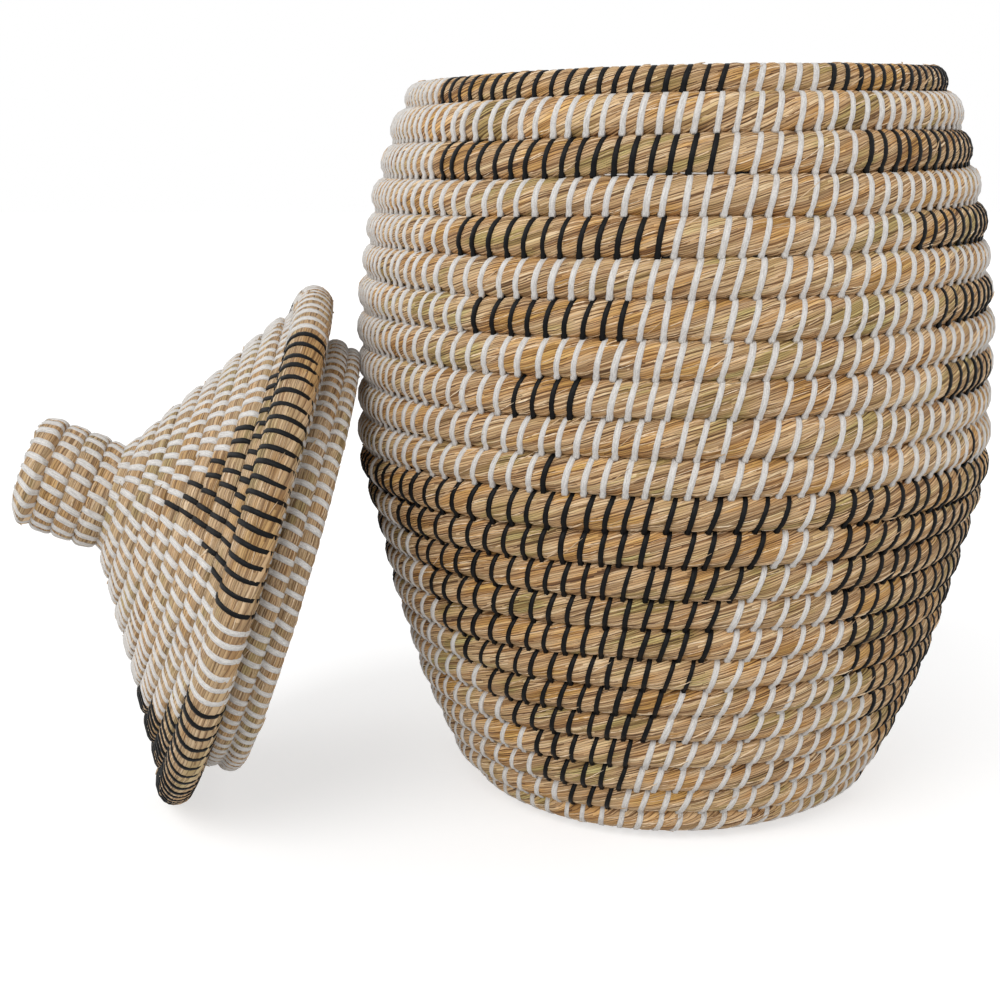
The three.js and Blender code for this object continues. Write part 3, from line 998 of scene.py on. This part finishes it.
class Finish:
    """A material's node graph, with short ways to add the nodes that the finishes here share."""

    def __init__(self, name, roughness):
        self.material = bpy.data.materials.new(name)
        self.material.use_nodes = True
        self.tree = self.material.node_tree
        self.shader = self.tree.nodes["Principled BSDF"]
        self.shader.inputs["Roughness"].default_value = roughness
        self.lie = self.add("ShaderNodeUVMap", {}, uv_map="lie").outputs["UV"]

    def add(self, kind, inputs, **settings):
        return add_node(self.tree, kind, inputs, **settings)

    def colour(self, colour):
        self.tree.links.new(colour, self.shader.inputs["Base Color"])

    def stretched(self, turned, scale):
        """The piece's lie, turned by some degrees and then scaled along and across."""
        rotation = (0, 0, math.radians(turned))
        turning = self.add("ShaderNodeMapping", {"Vector": self.lie, "Rotation": rotation})
        place = {"Vector": turning.outputs["Vector"], "Scale": (*scale, 1)}
        return self.add("ShaderNodeMapping", place).outputs["Vector"]

    def noise(self, vector, detail, roughness):
        inputs = {"Vector": vector, "Scale": 1, "Detail": detail, "Roughness": roughness}
        return self.add("ShaderNodeTexNoise", inputs, noise_dimensions="2D").outputs["Fac"]

    def reckon(self, operation, *values):
        """A Math node on numbers or other nodes' outputs."""
        inputs = dict(enumerate(values))
        return self.add("ShaderNodeMath", inputs, operation=operation).outputs[0]

    def parts(self, vector):
        node = self.add("ShaderNodeSeparateXYZ", {0: vector})
        return node.outputs[0], node.outputs[1]

    def chance(self, first, second):
        """A random number from 0 to 1 for each pair of whole numbers."""
        pair = self.add("ShaderNodeCombineXYZ", {0: first, 1: second}).outputs[0]
        node = self.add("ShaderNodeTexWhiteNoise", {"Vector": pair}, noise_dimensions="2D")
        return node.outputs["Value"]

    def strands(self, turned, width, length):
        """Which strand a place lies on, as a random number, and how high it is on that strand.

        The strands are width apart and length long. A slow wave makes them fan out and close up.
        """
        along, across = self.parts(self.stretched(turned, (1, 1)))
        fan = self.noise(self.stretched(turned, FAN_SCALE), detail=1, roughness=0.4)
        fanned = self.reckon("MULTIPLY_ADD", fan, FAN_REACH, across)
        place = self.reckon("DIVIDE", fanned, width)
        index = self.reckon("FLOOR", place)
        shift = self.chance(index, index)
        unshifted = self.reckon("DIVIDE", along, length)
        lengths = self.reckon("MULTIPLY_ADD", shift, STRAND_SHIFT, unshifted)
        share = self.reckon("FRACT", place)
        crest = self.reckon("SINE", self.reckon("MULTIPLY", share, math.pi))
        return self.chance(index, self.reckon("FLOOR", lengths)), crest

    def ramp(self, factor, *stops):
        """A colour for each factor. A stop is a place from 0 to 1 and its display values."""
        node = self.add("ShaderNodeValToRGB", {"Fac": factor})
        elements = node.color_ramp.elements
        while len(elements) < len(stops):
            elements.new(0.5)
        for element, (place, *values) in zip(elements, stops):
            element.position = place
            element.color = paint(*values)
        return node.outputs["Color"]

    def mix(self, factor, first, second, blend="MIX"):
        """Two colours, mixed. A Mix node has its colours at inputs 6 and 7 and output 2."""
        inputs = {0: factor, 6: first, 7: second}
        node = self.add("ShaderNodeMix", inputs, data_type="RGBA", blend_type=blend)
        return node.outputs[2]

    def bump(self, height, distance, strength):
        inputs = {"Height": height, "Distance": distance * MM, "Strength": strength}
        normal = self.add("ShaderNodeBump", inputs).outputs["Normal"]
        self.tree.links.new(normal, self.shader.inputs["Normal"])


# Tones of the grass, and shades laid over them: a place on a ramp and its display values
STRAW = (
    (0.0, 166, 136, 102),
    (0.2, 196, 165, 128),
    (0.55, 212, 182, 146),
    (0.85, 228, 201, 166),
    (1.0, 242, 221, 190),
)
PALE_STRAW = (
    (0.0, 170, 144, 112),
    (0.25, 186, 160, 127),
    (0.6, 200, 174, 142),
    (1.0, 218, 195, 166),
)
OLIVE_TO_GOLD = (
    (0.31, 220, 222, 176),
    (0.39, 248, 240, 212),
    (0.47, 254, 247, 232),
    (0.55, 255, 240, 216),
    (0.61, 252, 227, 180),
    (0.7, 238, 212, 148),
)
DARK_STRANDS = (
    (0.08, 122, 96, 68),
    (0.18, 190, 172, 150),
    (0.36, 255, 255, 255),
)
# Painted shade in the thin gaps between strands, darkest at each strand's edge
PAINTED_GAP_SHADE = (
    (0.1, 128, 104, 80),
    (0.45, 255, 255, 255),
)


def dry_grass(name, straw, variety):
    """Dry grass: straight strands that slant round the bundle, each of its own tone.

    Wide patches shift the hue from olive to straw and gold. Fine strands lie on wide ones, and
    painted shade darkens the thin gaps between them. The variety, from 0 to 1, is how strong
    all this is.
    """
    finish = Finish(name, roughness=0.78)
    tone, crest = finish.strands(turned=0, width=1.3, length=60)
    fine_tone, fine_crest = finish.strands(turned=2, width=0.5, length=40)
    patch = finish.noise(finish.stretched(0, PATCH_SCALE), detail=2, roughness=0.6)
    colour = finish.ramp(tone, *straw)
    for strength, factor, stops in (
        (1, patch, OLIVE_TO_GOLD),
        (0.9, fine_tone, DARK_STRANDS),
        # painted shade in the gaps between strands
        (0.8, crest, PAINTED_GAP_SHADE),
    ):
        shade = finish.ramp(factor, *stops)
        colour = finish.mix(strength * variety, colour, shade, blend="MULTIPLY")
    finish.colour(colour)
    wide = finish.reckon("MULTIPLY", crest, STRAND_HEIGHT)
    height = finish.reckon("MULTIPLY_ADD", fine_crest, FINE_HEIGHT, wide)
    finish.bump(height, distance=0.8, strength=1.0)
    return finish.material


def grass_blade(name, straw):
    """A single blade of the same grass, of one tone along its whole length."""
    finish = Finish(name, roughness=0.75)
    tone, _ = finish.parts(finish.lie)
    finish.colour(finish.ramp(tone, *straw))
    return finish.material


def plastic_strip(name, dark, light, roughness, gloss, grain):
    """A flat plastic strip: fine creases along it, painted as streaks of shade and highlight,
    and a faint mottle of its own tone.
    """
    finish = Finish(name, roughness)
    finish.shader.inputs["Specular IOR Level"].default_value = gloss
    # The creases are painted as darker and lighter streaks: painted shade and highlight
    crease_shade_and_highlight = finish.noise(finish.stretched(0, CREASE_SHADE_SCALE), detail=2, roughness=0.6)
    mottle = finish.noise(finish.stretched(0, MOTTLE_SCALE), detail=3, roughness=0.7)
    tones = ((0.36, *dark), (0.6, *light))
    finish.colour(finish.mix(0.4, finish.ramp(crease_shade_and_highlight, *tones), finish.ramp(mottle, *tones)))
    finish.bump(mottle, distance=grain, strength=0.8)
    return finish.material


WALL_GRASS = dry_grass("dry_grass", STRAW, variety=1.0)
WALL_BLADE = grass_blade("grass_blade", STRAW)
LID_GRASS = dry_grass("pale_grass", PALE_STRAW, variety=0.75)
LID_BLADE = grass_blade("pale_blade", PALE_STRAW)
WHITE = plastic_strip(
    "white_strip",
    dark=(184, 180, 176),
    light=(224, 221, 217),
    roughness=0.62,
    gloss=0.25,
    grain=0.4,
)
BLACK = plastic_strip(
    "black_strip",
    dark=(4, 5, 6),
    light=(17, 18, 20),
    roughness=0.5,
    gloss=0.14,
    grain=0.12,
)


# The pieces. Each length of coil: the node it replaces, its coil, its first and last turn, and
# which of its stitches are black

BASKET_LENGTHS = (
    ("base_coil", basket_coil, 0, 6, basket_black),
    ("heel_coil", basket_coil, 6, 9, basket_black),
    ("lower_wall_coil", basket_coil, 9, 12, basket_black),
    ("waist_coil", basket_coil, 12, 15, basket_black),
    ("lower_belly_coil", basket_coil, 15, 18, basket_black),
    ("belly_coil", basket_coil, 18, 21, basket_black),
    ("shoulder_coil", basket_coil, 21, 24, basket_black),
    ("neck_coil", basket_coil, 24, 27, basket_black),
    ("rim_coil", basket_coil, 27, basket_coil.turns, basket_black),
)
LID_LENGTHS = (
    ("knob_coil", lid_coil, 0, 5, lid_black),
    ("upper_cone_coil", lid_coil, 5, 10, lid_black),
    ("lower_cone_coil", lid_coil, 10, lid_coil.turns, lid_black),
    ("brim_coil", brim_hoop, 0, brim_hoop.turns, brim_black),
    ("seat_coil", seat_winding, 0, seat_winding.turns, no_black),
)


def finished(piece, slot, body, *nodes):
    """Says what body a piece rides on, and which nodes it replaces. The slot is not used."""
    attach(piece, body)
    if nodes:
        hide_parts(*nodes)


def dress(body, lengths, lean, slant, strip_share, grass, blade):
    """Grass, blades, and white and black strips for each length of coil on a body."""
    for node, coil, first, last, black in lengths:
        length = grass_length(f"{node}_grass", coil, first, last, lean, slant, grass)
        finished(length, "grass", body, node)
        proud = blades(f"{node}_blades", coil, first, last, lean, slant, blade)
        finished(proud, "grass", body)
        for colour, width, is_black, plastic in (
            ("white", WHITE_WIDTH * strip_share, False, WHITE),
            ("black", BLACK_WIDTH * strip_share, True, BLACK),
        ):
            name = f"{node}_{colour}_stitches"
            sewn = strips(name, coil, first, last, lean, black, width, is_black, plastic)
            if sewn:
                finished(sewn, f"{colour}_binding", body)


dress("basket", BASKET_LENGTHS, WALL_LEAN, WALL_SLANT, WALL_STRIP_SHARE, WALL_GRASS, WALL_BLADE)
dress("lid", LID_LENGTHS, LID_LEAN, LID_SLANT, LID_STRIP_SHARE, LID_GRASS, LID_BLADE)

for colour, places, plastic in (("white", WHITE_TAILS, WHITE), ("black", BLACK_TAILS, BLACK)):
    round_the_basket = [
        (seam, begin + shift, stop + shift)
        for seam, begin, stop in places
        for shift in TAIL_SHIFTS
    ]
    ends = tails(f"{colour}_tails", basket_coil, round_the_basket, plastic)
    finished(ends, f"{colour}_binding", "basket")

base_roll = roll("base_start_roll", basket_coil, 0, BASE_HEIGHT * 2, WALL_GRASS)
finished(base_roll, "grass", "basket", "base_start")
knob_half = KNOB_COIL / 2
knob_roll = roll("knob_start_roll", lid_coil, KNOB_TOP - knob_half, KNOB_TOP + knob_half, LID_GRASS)
finished(knob_roll, "grass", "lid", "knob_start")


# Floor, light and camera

def studio():
    """Soft light from all round. The camera and gloss see it white."""
    world = bpy.data.worlds.new("studio")
    bpy.context.scene.world = world
    world.use_nodes = True
    tree = world.node_tree
    tree.nodes.clear()
    path = add_node(tree, "ShaderNodeLightPath", {})
    seen = path.outputs["Is Camera Ray"]
    for ray in ("Is Glossy Ray", "Is Transmission Ray"):
        either = {0: seen, 1: path.outputs[ray]}
        seen = add_node(tree, "ShaderNodeMath", either, operation="MAXIMUM").outputs[0]
    soft, white = (
        add_node(tree, "ShaderNodeBackground", {"Color": WHITE_LIGHT, "Strength": strength})
        for strength in (SOFT_LIGHT, 1)
    )
    lights = {0: seen, 1: soft.outputs[0], 2: white.outputs[0]}
    mixed = add_node(tree, "ShaderNodeMixShader", lights)
    add_node(tree, "ShaderNodeOutputWorld", {"Surface": mixed.outputs[0]})


def floor():
    """A large plane under the basket. The camera sees it white, darkened only by the shadow."""
    half = FLOOR_HALF
    corners = [(-half, -half, 0), (half, -half, 0), (half, half, 0), (-half, half, 0)]
    made = bpy.data.meshes.new("floor")
    made.from_pydata(corners, [], [(0, 1, 2, 3)])
    plane = put("floor", made)
    plane.location.z = -FLOOR_DROP
    material = bpy.data.materials.new("floor")
    material.use_nodes = True
    tree = material.node_tree
    tree.nodes.clear()
    grey = (FLOOR_GREY, FLOOR_GREY, FLOOR_GREY, 1)
    matte = add_node(tree, "ShaderNodeBsdfDiffuse", {"Color": grey})
    path = add_node(tree, "ShaderNodeLightPath", {})
    glows = {0: path.outputs["Is Camera Ray"], 1: FLOOR_SEEN_GLOW, 2: FLOOR_GLOW}
    level = add_node(tree, "ShaderNodeMath", glows, operation="MULTIPLY_ADD")
    glow = add_node(tree, "ShaderNodeEmission", {"Strength": level.outputs[0]})
    both = add_node(tree, "ShaderNodeAddShader", {0: matte.outputs[0], 1: glow.outputs[0]})
    add_node(tree, "ShaderNodeOutputMaterial", {"Surface": both.outputs[0]})
    made.materials.append(material)


def sun(name, strength, spread, toward):
    """A soft distant lamp that shines in a given direction."""
    lamp = bpy.data.lights.new(name, "SUN")
    lamp.energy = strength
    lamp.angle = math.radians(spread)
    put(name, lamp).rotation_euler = Vector(toward).to_track_quat("-Z", "Y").to_euler()


def camera(place, down, lens):
    """The photograph's view: from the front, a little to the left, and looking slightly down."""
    made = bpy.data.cameras.new("camera")
    made.lens = lens
    made.sensor_width = 36
    holder = put("camera", made)
    holder.location = place
    holder.rotation_euler = (math.radians(90 - down), 0, 0)
    bpy.context.scene.camera = holder


studio()
floor()
sun("key", strength=1.5, spread=40, toward=(0.45, 0.75, -0.75))
sun("fill", strength=0.5, spread=60, toward=(-0.8, 0.6, -0.3))
sun("edge", strength=0.6, spread=50, toward=(0.95, -0.25, -0.3))
camera(place=(-0.1052, -1.1459, 0.4216), down=12.08, lens=67.4)
bpy.context.scene.view_settings.view_transform = "Standard"
